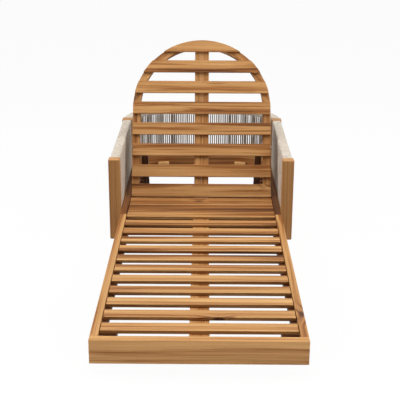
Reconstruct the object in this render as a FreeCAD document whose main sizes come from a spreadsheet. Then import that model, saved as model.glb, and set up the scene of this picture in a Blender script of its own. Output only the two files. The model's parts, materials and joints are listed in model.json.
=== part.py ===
import FreeCAD, Part
import math
import os
import re
import Sketcher

# Slatted wooden chaise longue with rope-wound arms and a reclining arched back.
# Frame of the part: +X to the right as seen from the foot end, -Y the foot end, +Z up,
# origin on the floor under the middle of the chaise. All sizes are millimetres and degrees.

DECK_SLATS_MIN_GAP = 20.0
SEAT_FILLERS = 2
BACK_SLATS = 8
NOTCHES = 6

# Driving sizes: name, value and what it measures.
SIZES = (
    ("outer_width", 763, "over the outer faces of the arm posts"),
    ("post_side", 46, "square section of the arm posts"),
    ("arm_height", 346, "floor to the post tops"),
    ("front_length", 1128, "foot end to the front of the arm posts"),
    ("arm_depth", 730, "front of the front post to the back of the rear post"),
    ("corner_radius", 222, "outer radius of the rounded rope corners"),
    ("band_width", 40, "thickness of the rope-covered arm and back panel"),
    ("rope_diameter", 5.3, "rope of the winding"),
    ("strand_pitch", 10.6, "distance between upright strands"),
    ("rope_drop", 0.7, "rope crown below the post tops"),
    ("top_rail_depth", 17, "height of the rail inside the winding"),
    ("deck_height", 114, "floor to the rail tops"),
    ("rail_depth", 79.5, "height of the deck rails and the apron"),
    ("rail_thick", 25, "thickness of the deck rails"),
    ("apron_thick", 31, "thickness of the apron at the foot end"),
    ("rail_joint", 1.5, "open joint between front and rear rails"),
    ("seat_depth", 217, "front of the posts to the back edge of the last deck slat"),
    ("slat_width", 54.5, "width of the slats"),
    ("low_slat_width", 58.6, "width of the lowest back slat"),
    ("slat_thick", 12, "thickness of every slat"),
    ("slat_pitch", 93.75, "slat to slat in the deck"),
    ("low_back_pitch", 90, "lowest back slat to the next"),
    ("back_pitch", 94.7, "slat to slat in the rest of the back"),
    ("slat_drop", 2.5, "slat tops below the rail tops"),
    ("slat_end_gap", 2, "slat end to rail"),
    ("ledger_side", 20, "square section of the slat ledgers"),
    ("leg_width", 54, "front leg, across the chaise"),
    ("leg_depth", 45, "front leg, along the chaise"),
    ("leg_setback", 66, "foot end to the front legs"),
    ("stringer_width", 64, "middle stringer under the slats"),
    ("stringer_depth", 30, "height of the middle stringer"),
    ("filler_drop", 0.6, "slat tops down to the fillers in the seat"),
    ("filler_gap", 0.3, "filler to slat"),
    ("seat_cross_lead", 10, "seat cross rail before the arm posts"),
    ("cross_thick", 26, "thickness of the cross rails"),
    ("back_cross_setback", 79, "hinge axis to the cross rail behind it"),
    ("back_cross_depth", 49, "height of the cross rail behind the hinge"),
    ("rear_leg_offset", 168, "middle line to the rear legs"),
    ("rear_leg_height", 73, "height of the rear legs"),
    ("rear_leg_reach", 30, "rear legs before the rear rail"),
    ("rear_leg_lap", 15, "rear legs under the rear rail"),
    ("foot_chamfer", 4, "chamfer at the foot of posts and legs"),
    ("backrest_gap", 4, "back stile to deck rail"),
    ("stile_width", 34, "face width of stiles and arch"),
    ("stile_thick", 25, "thickness of stiles, arch and spine"),
    ("spine_board", 31, "width of each spine board"),
    ("spine_gap", 0.3, "gap between the two spine boards"),
    ("backrest_start", 24.5, "hinge axis to the lower edge of the lowest back slat"),
    ("top_trim", 1.8, "arch trims this off the middle of the highest slat"),
    ("hinge_height", 81.5, "floor to the hinge axis"),
    ("hinge_setback", 16, "last deck slat to the hinge axis"),
    ("lean", 26, "back from upright, as it stands"),
    ("lean_upright", 18, "back from upright, in the first notch"),
    ("lean_step", 8, "notch to notch"),
    ("pivot_diameter", 10, "pivot pins"),
    ("pivot_clearance", 0.05, "running clearance round a pivot pin"),
    ("pivot_head", 18, "head diameter of the pivot pins"),
    ("pivot_head_height", 3.5, "head height of the pivot pins"),
    ("pivot_end_gap", 1, "pin end short of the inner stile face"),
    ("stay_length", 250, "pivot to crossbar, equal to hinge to pivot"),
    ("stay_width", 22, "width of the stay arms"),
    ("stay_thick", 28, "thickness of the stay arms"),
    ("stay_gap", 4, "stile to stay arm"),
    ("bar_diameter", 14, "crossbar of the stay"),
    ("bar_end_gap", 2, "crossbar end to deck rail"),
    ("bar_clearance", 0.5, "crossbar above the notched rails"),
    ("notch_rail_width", 35, "width of the notched rails"),
    ("notch_depth", 12, "depth of a notch"),
    ("notch_run", 22, "length of a notch"),
    ("bolt_diameter", 8, "frame bolts"),
    ("bolt_head", 13, "head diameter of the frame bolts"),
    ("bolt_head_height", 5, "head height of the frame bolts"),
    ("post_grip", 26, "bolt depth in a post"),
    ("leg_grip", 16, "bolt depth in a rail from a leg"),
    ("bolt_rise", 16, "rail underside to the lower bolts"),
    ("bolt_spacing", 20, "lower bolt to upper bolt"),
)

# Places and lengths that follow from the driving sizes.
LAYOUT = (
    ("front_face", "-(front_length + arm_depth + corner_radius) / 2"),
    ("apron_rear", "front_face + apron_thick"),
    ("post_front", "front_face + front_length"),
    ("post_rear", "post_front + arm_depth"),
    ("rear_post_front", "post_rear - post_side"),
    ("rear_face", "post_rear + corner_radius"),
    ("deck_half", "outer_width / 2 - post_side"),
    ("deck_width", "2 * deck_half"),
    ("rail_inner", "deck_half - rail_thick"),
    ("clear_width", "2 * rail_inner"),
    ("rail_base", "deck_height - rail_depth"),
    ("front_rail_length", "front_length - apron_thick - rail_joint"),
    ("slat_top", "deck_height - slat_drop"),
    ("slat_base", "slat_top - slat_thick"),
    ("slat_half", "rail_inner - slat_end_gap"),
    ("slat_length", "2 * slat_half"),
    ("deck_end", "post_front + seat_depth"),
    ("hinge_cross_front", "deck_end - slat_width"),
    ("hinge_cross_rear", "hinge_cross_front + cross_thick"),
    ("cross_depth", "slat_base - rail_base"),
    ("ledger_inner", "rail_inner - ledger_side"),
    ("ledger_base", "slat_base - ledger_side"),
    ("seat_cross_front", "post_front - seat_cross_lead"),
    ("ledger_notch_base", "cross_depth - ledger_side"),
    ("ledger_notch_far", "clear_width - ledger_side"),
    ("filler_width", "slat_pitch - slat_width - 2 * filler_gap"),
    ("filler_thick", "slat_thick - filler_drop"),
    ("filler_front", "hinge_cross_front - filler_gap - filler_width"),
    ("leg_front", "front_face + leg_setback"),
    ("leg_rear", "leg_front + leg_depth"),
    ("leg_middle", "leg_depth / 2"),
    ("leg_inner", "rail_inner - leg_width"),
    ("ledger_length", "hinge_cross_front - leg_rear"),
    ("stringer_half", "stringer_width / 2"),
    ("stringer_base", "slat_base - stringer_depth"),
    ("stringer_length", "hinge_cross_front - apron_rear"),
    ("stringer_notch_near", "rail_inner - stringer_half"),
    ("stringer_notch_far", "rail_inner + stringer_half"),
    ("stringer_notch_base", "cross_depth - stringer_depth"),
    ("band_inner", "outer_width / 2 - (post_side + band_width) / 2"),
    ("band_outer", "band_inner + band_width"),
    ("arm_front", "post_front + post_side"),
    ("arm_length", "arm_depth - 2 * post_side"),
    ("rope_top", "arm_height - rope_drop"),
    ("top_rail_top", "rope_top - rope_diameter"),
    ("top_rail_base", "top_rail_top - top_rail_depth"),
    ("top_rail_inner", "band_inner + rope_diameter"),
    ("top_rail_width", "band_width - 2 * rope_diameter"),
    ("corner_centre", "band_outer - corner_radius"),
    ("corner_inner", "corner_radius - band_width"),
    ("core_outer", "corner_radius - rope_diameter"),
    ("core_inner", "corner_inner + rope_diameter"),
    ("rear_straight", "2 * corner_centre"),
    ("rear_leg_front", "post_rear + corner_inner - rear_leg_reach"),
    ("rear_leg_depth", "rear_leg_reach + rear_leg_lap"),
    ("notch_top", "hinge_height - bar_diameter / 2 - bar_clearance"),
    ("notch_rail_depth", "notch_top - rail_base"),
    ("notch_floor", "notch_rail_depth - notch_depth"),
    ("hinge_y", "deck_end + hinge_setback"),
    ("back_cross_front", "hinge_y + back_cross_setback"),
    ("notch_rail_front", "back_cross_front + cross_thick"),
    ("notch_rail_inner", "rail_inner - notch_rail_width"),
    ("notch_rail_length", "rear_post_front - notch_rail_front"),
    ("hinge_in_rail", "hinge_y - post_front"),
    ("hinge_rise", "hinge_height - rail_base"),
    ("backrest_half", "rail_inner - backrest_gap"),
    ("backrest_width", "2 * backrest_half"),
    ("next_slat_start", "backrest_start + low_back_pitch"),
    ("high_slat_start", f"next_slat_start + {BACK_SLATS - 2} * back_pitch"),
    ("backrest_top", "high_slat_start + slat_width - top_trim"),
    ("arch_centre", "backrest_top - backrest_half"),
    ("arch_y", "hinge_y + arch_centre * sin(lean)"),
    ("arch_z", "hinge_height + arch_centre * cos(lean)"),
    ("outline_depth", "arch_centre - backrest_start"),
    ("stile_inner", "backrest_half - stile_width"),
    ("stile_half", "stile_thick / 2"),
    ("slat_face", "stile_half + slat_thick"),
    ("spine_half", "spine_gap / 2"),
    ("spine_top", "arch_centre + sqrt(stile_inner ^ 2 - (spine_half + spine_board) ^ 2)"),
    ("spine_length", "spine_top - backrest_start"),
    ("spine_y", "hinge_y + backrest_start * sin(lean) - stile_half * cos(lean)"),
    ("spine_z", "hinge_height + backrest_start * cos(lean) + stile_half * sin(lean)"),
    ("pivot_bore", "pivot_diameter + 2 * pivot_clearance"),
    ("pivot_start", "stile_inner + pivot_end_gap"),
    ("pivot_head_start", "deck_half - pivot_head_height"),
    ("pivot_length", "pivot_head_start - pivot_start"),
    ("stay_half", "stay_width / 2"),
    ("stay_outer", "stile_inner - stay_gap"),
    ("stay_inner", "stay_outer - stay_thick"),
    ("stay_y", "hinge_y + stay_length * sin(lean)"),
    ("stay_z", "hinge_height + stay_length * cos(lean)"),
    ("stay_pin_length", "backrest_half - stay_inner"),
    ("bar_y", "hinge_y + 2 * stay_length * sin(lean)"),
    ("bar_half", "rail_inner - bar_end_gap"),
    ("bar_length", "2 * bar_half"),
    ("post_bolt_length", "rail_thick + post_grip"),
    ("leg_bolt_length", "leg_width + leg_grip"),
    ("post_middle", "post_side / 2"),
    ("front_bolt_y", "post_front + post_middle"),
    ("rear_bolt_in_rail", "arm_depth - post_middle"),
    ("rear_bolt_y", "post_front + rear_bolt_in_rail"),
    ("leg_bolt_y", "leg_front + leg_middle"),
    ("leg_bolt_in_rail", "leg_bolt_y - apron_rear"),
    ("low_bolt", "rail_base + bolt_rise"),
    ("high_bolt_rise", "bolt_rise + bolt_spacing"),
    ("high_bolt", "rail_base + high_bolt_rise"),
)

SIZE_NAMES = {name for name, value, note in SIZES}
LAYOUT_NAMES = {name for name, text in LAYOUT}

doc = FreeCAD.newDocument("chaise_longue")
nodes = []


def formula(text):
    """Write a formula of plain names with the objects that hold them."""

    def holder(match):
        word = match.group()
        if word in SIZE_NAMES:
            return "Sizes." + word
        if word in LAYOUT_NAMES:
            return "Layout." + word
        return word

    return re.sub(r"[a-z][a-z_]*", holder, text)


def number(name):
    """The present value of one named size or place."""
    if name == "0":
        return 0.0
    if name in SIZE_NAMES:
        return float(sizes.get(name))
    return float(getattr(layout, name))


def bind(target, **formulas):
    """Tie properties of an object to formulas."""
    for name, text in formulas.items():
        target.setExpression(name, formula(text))


def put(target, x, y, z, turn=None):
    """Tie an object's place to formulas, turned about X where it leans."""
    if turn:
        target.Placement = FreeCAD.Placement(
            FreeCAD.Vector(), FreeCAD.Rotation(FreeCAD.Vector(1, 0, 0), 1)
        )
        target.setExpression("Placement.Rotation.Angle", formula(turn))
    for axis, text in zip("xyz", (x, y, z)):
        target.setExpression("Placement.Base." + axis, formula(text))


def keep(target, label):
    """Enter a finished piece under its own name."""
    target.Label = label
    nodes.append(target)
    return target


def make_sizes():
    sheet = doc.addObject("Spreadsheet::Sheet", "Sizes")
    for row, (name, value, note) in enumerate(SIZES, start=1):
        sheet.set(f"A{row}", note)
        sheet.set(f"B{row}", str(value))
        sheet.setAlias(f"B{row}", name)
    doc.recompute()
    return sheet


def make_layout():
    holder = doc.addObject("App::FeaturePython", "Layout")
    for name, text in LAYOUT:
        holder.addProperty("App::PropertyFloat", name)
        holder.setExpression(name, formula(text))
    doc.recompute()
    return holder


def new_sketch(body, plane, name, offset=None):
    """A sketch on one of the body's own planes."""
    sketch = body.newObject("Sketcher::SketchObject", body.Name + "_" + name)
    sketch.AttachmentSupport = next(
        (part, "") for part in body.Origin.OriginFeatures if part.Role == plane
    )
    sketch.MapMode = "FlatFace"
    if offset:
        sketch.setExpression("AttachmentOffset.Base.z", formula(offset))
    return sketch


def fix_point(sketch, geometry, point, x, y):
    """Hold a point at named distances from the sketch origin."""
    if x == "0":
        sketch.addConstraint(Sketcher.Constraint("PointOnObject", geometry, point, -2))
    else:
        index = sketch.addConstraint(
            Sketcher.Constraint("DistanceX", -1, 1, geometry, point, number(x))
        )
        sketch.setExpression(f"Constraints[{index}]", formula(x))
    if y == "0":
        sketch.addConstraint(Sketcher.Constraint("PointOnObject", geometry, point, -1))
    else:
        index = sketch.addConstraint(
            Sketcher.Constraint("DistanceY", -1, 1, geometry, point, number(y))
        )
        sketch.setExpression(f"Constraints[{index}]", formula(y))


def draw_polygon(sketch, points):
    """Straight outline through points given by name."""
    places = [FreeCAD.Vector(number(x), number(y), 0) for x, y in points]
    first = sketch.GeometryCount
    count = len(points)
    for index in range(count):
        sketch.addGeometry(Part.LineSegment(places[index], places[(index + 1) % count]))
    for index in range(count):
        after = first + (index + 1) % count
        sketch.addConstraint(Sketcher.Constraint("Coincident", first + index, 2, after, 1))
    for index, (x, y) in enumerate(points):
        fix_point(sketch, first + index, 1, x, y)


def draw_circle(sketch, x, y, diameter):
    centre = FreeCAD.Vector(number(x), number(y), 0)
    circle = Part.Circle(centre, FreeCAD.Vector(0, 0, 1), number(diameter) / 2)
    geometry = sketch.addGeometry(circle)
    fix_point(sketch, geometry, 3, x, y)
    index = sketch.addConstraint(Sketcher.Constraint("Diameter", geometry, number(diameter)))
    sketch.setExpression(f"Constraints[{index}]", formula(diameter))


def draw_arc(sketch, radius, start, end, height="0"):
    """Arc about a point on the upright axis, between two angles in degrees."""
    centre = FreeCAD.Vector(0, number(height), 0)
    circle = Part.Circle(centre, FreeCAD.Vector(0, 0, 1), number(radius))
    arc = Part.ArcOfCircle(circle, math.radians(start), math.radians(end))
    geometry = sketch.addGeometry(arc)
    fix_point(sketch, geometry, 3, "0", height)
    index = sketch.addConstraint(Sketcher.Constraint("Radius", geometry, number(radius)))
    sketch.setExpression(f"Constraints[{index}]", formula(radius))
    return geometry


def draw_line_between(sketch, first, first_end, second, second_end):
    start = sketch.getPoint(first, first_end)
    finish = sketch.getPoint(second, second_end)
    geometry = sketch.addGeometry(Part.LineSegment(start, finish))
    sketch.addConstraint(Sketcher.Constraint("Coincident", geometry, 1, first, first_end))
    sketch.addConstraint(Sketcher.Constraint("Coincident", geometry, 2, second, second_end))
    return geometry


def new_body(label):
    body = doc.addObject("PartDesign::Body", label)
    return body


def add_pad(body, sketch, length):
    pad = body.newObject("PartDesign::Pad", body.Name + "_pad")
    pad.Profile = sketch
    bind(pad, Length=length)
    return pad


def add_pocket(body, sketch, depth, reverse=False):
    """Cut a sketch into the body and make sure that it removed wood."""
    doc.recompute()
    before = body.Shape.Volume
    pocket = body.newObject("PartDesign::Pocket", body.Name + "_pocket")
    pocket.Profile = sketch
    pocket.Reversed = reverse
    bind(pocket, Length=depth)
    doc.recompute()
    if body.Shape.Volume >= before:
        raise RuntimeError("no wood removed from " + body.Name)
    return pocket


def add_board(label, length, width, height):
    """Straight board with one corner at its own origin."""
    body = new_body(label)
    sketch = new_sketch(body, "XY_Plane", "outline")
    draw_polygon(sketch, (("0", "0"), (length, "0"), (length, width), ("0", width)))
    add_pad(body, sketch, height)
    return body


def add_side_holes(body, name, holes, depth, offset=None, reverse=True):
    """Round holes along X, given as places along and up the board."""
    sketch = new_sketch(body, "YZ_Plane", name, offset)
    for along, up, diameter in holes:
        draw_circle(sketch, along, up, diameter)
    add_pocket(body, sketch, depth, reverse)


def add_foot_chamfer(body):
    """Ease the edges that stand on the floor."""
    doc.recompute()
    floor_edges = [
        f"Edge{index}"
        for index, edge in enumerate(body.Tip.Shape.Edges, start=1)
        if edge.BoundBox.ZMax < 0.01
    ]
    base = body.Tip
    chamfer = body.newObject("PartDesign::Chamfer", body.Name + "_foot")
    chamfer.Base = (base, floor_edges)
    bind(chamfer, Size="foot_chamfer")


def add_mirrored(source, label):
    """The same piece on the other side of the chaise."""
    copy = doc.addObject("Part::Mirroring", label)
    copy.Source = source
    copy.Base = FreeCAD.Vector(0, 0, 0)
    copy.Normal = FreeCAD.Vector(1, 0, 0)
    return copy


def keep_pair(body, name):
    """Enter a right-hand piece and its left-hand twin."""
    keep(body, "right_" + name)
    keep(add_mirrored(body, "left_" + name), "left_" + name)


def add_bar(name, diameter, length, x, y, z):
    """Round bar along X that starts at x."""
    bar = doc.addObject("Part::Cylinder", name)
    bind(bar, Radius=diameter + " / 2", Height=length)
    bar.Placement = FreeCAD.Placement(
        FreeCAD.Vector(), FreeCAD.Rotation(FreeCAD.Vector(0, 1, 0), 90)
    )
    for axis, text in zip("xyz", (x, y, z)):
        bar.setExpression("Placement.Base." + axis, formula(text))
    return bar


def add_bolt(name, shaft, head, y, z):
    """Headed pin along X; shaft and head are diameter, length and start."""
    bolt = doc.addObject("Part::Fuse", name)
    bolt.Base = add_bar(name + "_shaft", *shaft, y, z)
    bolt.Tool = add_bar(name + "_head", *head, y, z)
    return bolt


def add_group(label, parts):
    group = doc.addObject("Part::Compound", label)
    group.Links = parts
    return keep(group, label)


def make_deck_frame():
    """Apron, side rails, cross rails, stringer, ledgers and front legs."""
    apron = add_board("front_apron", "deck_width", "apron_thick", "rail_depth")
    put(apron, "-deck_half", "front_face", "rail_base")
    keep(apron, "front_apron")

    front_rail = add_board("right_front_rail", "rail_thick", "front_rail_length", "rail_depth")
    put(front_rail, "rail_inner", "apron_rear", "rail_base")
    leg_holes = [
        ("leg_bolt_in_rail", "bolt_rise", "bolt_diameter"),
        ("leg_bolt_in_rail", "high_bolt_rise", "bolt_diameter"),
    ]
    add_side_holes(front_rail, "leg_holes", leg_holes, "leg_grip")
    keep_pair(front_rail, "front_rail")

    rear_rail = add_board("right_rear_rail", "rail_thick", "arm_depth", "rail_depth")
    put(rear_rail, "rail_inner", "post_front", "rail_base")
    post_holes = [
        (along, up, "bolt_diameter")
        for along in ("post_middle", "rear_bolt_in_rail")
        for up in ("bolt_rise", "high_bolt_rise")
    ]
    pivot_hole = ("hinge_in_rail", "hinge_rise", "pivot_diameter")
    add_side_holes(rear_rail, "holes", post_holes + [pivot_hole], "rail_thick")
    head_hole = ("hinge_in_rail", "hinge_rise", "pivot_head")
    add_side_holes(
        rear_rail, "head", [head_hole], "pivot_head_height", offset="rail_thick", reverse=False
    )
    keep_pair(rear_rail, "rear_rail")

    seat_cross = add_board("seat_cross_rail", "clear_width", "cross_thick", "cross_depth")
    put(seat_cross, "-rail_inner", "seat_cross_front", "rail_base")
    for near, far, base in (
        ("0", "ledger_side", "ledger_notch_base"),
        ("stringer_notch_near", "stringer_notch_far", "stringer_notch_base"),
        ("ledger_notch_far", "clear_width", "ledger_notch_base"),
    ):
        notch = new_sketch(seat_cross, "XZ_Plane", "notch")
        outline = ((near, base), (far, base), (far, "cross_depth"), (near, "cross_depth"))
        draw_polygon(notch, outline)
        add_pocket(seat_cross, notch, "cross_thick")
    keep(seat_cross, "seat_cross_rail")

    before = add_board("cross_rail_before_hinge", "clear_width", "cross_thick", "cross_depth")
    put(before, "-rail_inner", "hinge_cross_front", "rail_base")
    behind = add_board("cross_rail_behind_hinge", "clear_width", "cross_thick", "back_cross_depth")
    put(behind, "-rail_inner", "back_cross_front", "rail_base")
    add_group("hinge_cross_rails", [before, behind])

    stringer = add_board("middle_stringer", "stringer_width", "stringer_length", "stringer_depth")
    put(stringer, "-stringer_half", "apron_rear", "stringer_base")
    keep(stringer, "middle_stringer")

    ledger = add_board("right_ledger", "ledger_side", "ledger_length", "ledger_side")
    put(ledger, "ledger_inner", "leg_rear", "ledger_base")
    add_group("ledgers", [ledger, add_mirrored(ledger, "left_ledger")])

    leg = add_board("right_front_leg", "leg_width", "leg_depth", "slat_base")
    put(leg, "leg_inner", "leg_front", "0")
    bolt_holes = [
        ("leg_middle", "low_bolt", "bolt_diameter"),
        ("leg_middle", "high_bolt", "bolt_diameter"),
    ]
    add_side_holes(leg, "bolt_holes", bolt_holes, "leg_width")
    add_foot_chamfer(leg)
    keep_pair(leg, "front_leg")


def make_deck_slats():
    """Slats laid from the hinge towards the foot end, the last gaps filled."""
    room = number("deck_end") - number("apron_rear") - number("slat_width") - DECK_SLATS_MIN_GAP
    count = int(room / number("slat_pitch")) + 1
    for index in range(count):
        label = f"deck_slat_{index + 1:02d}"
        slat = add_board(label, "slat_length", "slat_width", "slat_thick")
        steps = count - 1 - index
        put(slat, "-slat_half", f"hinge_cross_front - {steps} * slat_pitch", "slat_base")
        keep(slat, label)

    fillers = []
    for steps in range(SEAT_FILLERS):
        filler = add_board(f"seat_filler_{steps + 1}", "slat_length", "filler_width", "filler_thick")
        put(filler, "-slat_half", f"filler_front - {steps} * slat_pitch", "slat_base")
        fillers.append(filler)
    add_group("seat_fillers", fillers)


def make_posts():
    """Square arm posts with bolt holes in their inner faces."""
    holes = [
        ("post_middle", "low_bolt", "bolt_diameter"),
        ("post_middle", "high_bolt", "bolt_diameter"),
    ]
    for name, place in (("front_post", "post_front"), ("rear_post", "rear_post_front")):
        post = add_board("right_" + name, "post_side", "post_side", "arm_height")
        put(post, "deck_half", place, "0")
        add_side_holes(post, "bolt_holes", holes, "post_grip")
        add_foot_chamfer(post)
        keep_pair(post, name)


def make_arm_rails():
    """Upper rail inside the winding and bare lower rail of each arm."""
    upper = add_board("right_arm_top_rail", "top_rail_width", "arm_length", "top_rail_depth")
    put(upper, "top_rail_inner", "arm_front", "top_rail_base")
    keep_pair(upper, "arm_top_rail")
    lower = add_board("right_arm_bottom_rail", "band_width", "arm_length", "rail_depth")
    put(lower, "band_inner", "arm_front", "rail_base")
    keep_pair(lower, "arm_bottom_rail")


def add_quarter(name, radius, height, base):
    quarter = doc.addObject("Part::Cylinder", name)
    quarter.Angle = 90
    bind(quarter, Radius=radius, Height=height)
    put(quarter, "corner_centre", "post_rear", base)
    return quarter


def make_rear_rail(label, inner, outer, base, depth):
    """Rail that runs round behind the rear posts: corner, straight, corner."""
    corner = doc.addObject("Part::Cut", label + "_corner")
    corner.Base = add_quarter(label + "_outer", outer, depth, base)
    corner.Tool = add_quarter(label + "_inner", inner, depth, base)
    straight = doc.addObject("Part::Box", label + "_straight")
    bind(straight, Length="rear_straight", Width=f"{outer} - {inner}", Height=depth)
    put(straight, "-corner_centre", f"post_rear + {inner}", base)
    rail = doc.addObject("Part::MultiFuse", label)
    rail.Shapes = [corner, straight, add_mirrored(corner, label + "_other_corner")]
    rail.Refine = True
    return keep(rail, label)


def make_rear_legs(rail):
    """Short legs inside the rear rail, notched under it and coped to its curve."""
    block = add_board("rear_leg_block", "leg_width", "rear_leg_depth", "rear_leg_height")
    put(block, "rear_leg_offset", "rear_leg_front", "0")
    add_foot_chamfer(block)
    leg = doc.addObject("Part::Cut", "right_rear_leg")
    leg.Base = block
    leg.Tool = rail
    add_group("rear_legs", [leg, add_mirrored(leg, "left_rear_leg")])


def make_arm_rope():
    """Winding over the arm: closed over the top rail, single strands below it."""
    low = number("deck_height")
    bottom = number("top_rail_base")
    start = number("arm_front")
    length = number("arm_length")
    rope = number("rope_diameter")
    shell = Part.makeBox(
        number("band_width"),
        length,
        number("rope_top") - low,
        FreeCAD.Vector(number("band_inner"), start, low),
    )
    hollow = Part.makeBox(
        number("top_rail_width"),
        length,
        number("top_rail_top") - low,
        FreeCAD.Vector(number("top_rail_inner"), start, low),
    )
    strands = round(length / number("strand_pitch"))
    step = (length - rope) / (strands - 1)
    gaps = [
        Part.makeBox(
            number("band_width") + 2 * rope,
            step - rope,
            bottom - low,
            FreeCAD.Vector(number("band_inner") - rope, start + index * step + rope, low),
        )
        for index in range(strands - 1)
    ]
    winding = doc.addObject("Part::Feature", "right_arm_rope")
    winding.Shape = shell.cut(hollow).cut(Part.makeCompound(gaps))
    keep_pair(winding, "arm_rope")


def rear_outline_solid(inner, outer, base, top):
    """Upright band behind the rear posts between two corner radii."""
    centre = number("corner_centre")
    back = number("post_rear")
    up = FreeCAD.Vector(0, 0, 1)
    height = top - base
    solids = []
    for side, start in ((1, 0), (-1, 90)):
        place = FreeCAD.Vector(side * centre, back, base)
        whole = Part.makeCylinder(outer, height, place, up, 90)
        core = Part.makeCylinder(inner, height, place, up, 90)
        corner = whole.cut(core)
        corner.rotate(place, up, start)
        solids.append(corner)
    straight = Part.makeBox(
        2 * centre, outer - inner, height, FreeCAD.Vector(-centre, back + inner, base)
    )
    return straight.fuse(solids).removeSplitter()


def rear_gap_cutters(low, top):
    """Upright slots between the strands, square to the path all the way round."""
    rope = number("rope_diameter")
    centre = number("corner_centre")
    back = number("post_rear")
    middle = number("corner_radius") - number("band_width") / 2
    corner_run = middle * math.pi / 2
    strands = round((2 * corner_run + 2 * centre) / number("strand_pitch"))
    step = (2 * corner_run + 2 * centre - rope) / (strands - 1)
    reach = number("band_width") + 2 * rope
    cutters = []
    for index in range(strands - 1):
        run = index * step + rope / 2 + step / 2
        slot = Part.makeBox(
            reach, step - rope, top - low, FreeCAD.Vector(-reach / 2, -(step - rope) / 2, low)
        )
        if run < corner_run:
            angle = math.degrees(run / middle)
            place = FreeCAD.Vector(centre, back, 0)
        elif run < corner_run + 2 * centre:
            angle = 90
            place = FreeCAD.Vector(centre - (run - corner_run), back, 0)
        else:
            angle = 90 + math.degrees((run - corner_run - 2 * centre) / middle)
            place = FreeCAD.Vector(-centre, back, 0)
        slot.translate(FreeCAD.Vector(middle, 0, 0))
        slot.rotate(FreeCAD.Vector(), FreeCAD.Vector(0, 0, 1), angle)
        slot.translate(place)
        cutters.append(slot)
    return Part.makeCompound(cutters)


def make_rear_rope():
    """Winding round the back: closed over the top rail, single strands below it."""
    low = number("deck_height")
    shell = rear_outline_solid(
        number("corner_inner"), number("corner_radius"), low, number("rope_top")
    )
    hollow = rear_outline_solid(
        number("core_inner"), number("core_outer"), low, number("top_rail_top")
    )
    gaps = rear_gap_cutters(low, number("top_rail_base"))
    winding = doc.addObject("Part::Feature", "rear_rope")
    winding.Shape = shell.cut(hollow).cut(gaps)
    keep(winding, "rear_rope")


def make_notched_rails():
    """Rails under the crossbar, with a notch for each position of the back."""
    rail = add_board(
        "right_notched_rail", "notch_rail_width", "notch_rail_length", "notch_rail_depth"
    )
    put(rail, "notch_rail_inner", "notch_rail_front", "rail_base")
    sketch = new_sketch(rail, "YZ_Plane", "notches")
    for index in range(NOTCHES):
        angle = f"(lean_upright + {index} * lean_step)"
        seat = f"hinge_y + 2 * stay_length * sin({angle}) - notch_rail_front"
        wall = f"notch_wall_{'abcdefgh'[index]}"
        toe = f"notch_toe_{'abcdefgh'[index]}"
        for name, text in ((wall, seat + " + bar_diameter / 2"), (toe, seat + " - notch_run")):
            layout.addProperty("App::PropertyFloat", name)
            LAYOUT_NAMES.add(name)
            layout.setExpression(name, formula(text))
        layout.recompute()
        draw_polygon(
            sketch,
            ((toe, "notch_rail_depth"), (wall, "notch_floor"), (wall, "notch_rail_depth")),
        )
    add_pocket(rail, sketch, "notch_rail_width", reverse=True)
    keep_pair(rail, "notched_rail")


def make_back_frame():
    """Stiles, arch and spine of the reclining back."""
    stile = new_body("right_back_stile")
    sketch = new_sketch(stile, "YZ_Plane", "outline")
    foot = draw_arc(sketch, "stile_half", 180, 360)
    sketch.addConstraint(Sketcher.Constraint("PointOnObject", foot, 1, -1))
    sketch.addConstraint(Sketcher.Constraint("PointOnObject", foot, 2, -1))
    half = number("stile_half")
    tall = number("arch_centre")
    corner_a = FreeCAD.Vector(half, tall, 0)
    corner_b = FreeCAD.Vector(-half, tall, 0)
    front = sketch.addGeometry(Part.LineSegment(FreeCAD.Vector(half, 0, 0), corner_a))
    top = sketch.addGeometry(Part.LineSegment(corner_a, corner_b))
    rear = sketch.addGeometry(Part.LineSegment(corner_b, FreeCAD.Vector(-half, 0, 0)))
    for first, second in ((foot, front), (front, top), (top, rear), (rear, foot)):
        sketch.addConstraint(Sketcher.Constraint("Coincident", first, 2, second, 1))
    sketch.addConstraint(Sketcher.Constraint("Vertical", front))
    sketch.addConstraint(Sketcher.Constraint("Vertical", rear))
    sketch.addConstraint(Sketcher.Constraint("Horizontal", top))
    index = sketch.addConstraint(Sketcher.Constraint("DistanceY", front, 1, front, 2, tall))
    sketch.setExpression(f"Constraints[{index}]", formula("arch_centre"))
    add_pad(stile, sketch, "stile_width")
    put(stile, "stile_inner", "hinge_y", "hinge_height", turn="-lean")
    holes = [("0", "0", "pivot_bore"), ("0", "stay_length", "pivot_diameter")]
    add_side_holes(stile, "pivots", holes, "stile_width")
    keep_pair(stile, "back_stile")

    arch = new_body("right_back_arch")
    sketch = new_sketch(arch, "XZ_Plane", "outline", offset="-stile_half")
    outer = draw_arc(sketch, "backrest_half", 0, 90)
    inner = draw_arc(sketch, "stile_inner", 0, 90)
    for ring in (outer, inner):
        sketch.addConstraint(Sketcher.Constraint("PointOnObject", ring, 1, -1))
        sketch.addConstraint(Sketcher.Constraint("PointOnObject", ring, 2, -2))
    draw_line_between(sketch, outer, 1, inner, 1)
    draw_line_between(sketch, outer, 2, inner, 2)
    add_pad(arch, sketch, "stile_thick")
    put(arch, "0", "arch_y", "arch_z", turn="-lean")
    keep_pair(arch, "back_arch")

    board = add_board("right_spine_board", "spine_board", "stile_thick", "spine_length")
    put(board, "spine_half", "spine_y", "spine_z", turn="-lean")
    add_group("back_spine", [board, add_mirrored(board, "left_spine_board")])


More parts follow.
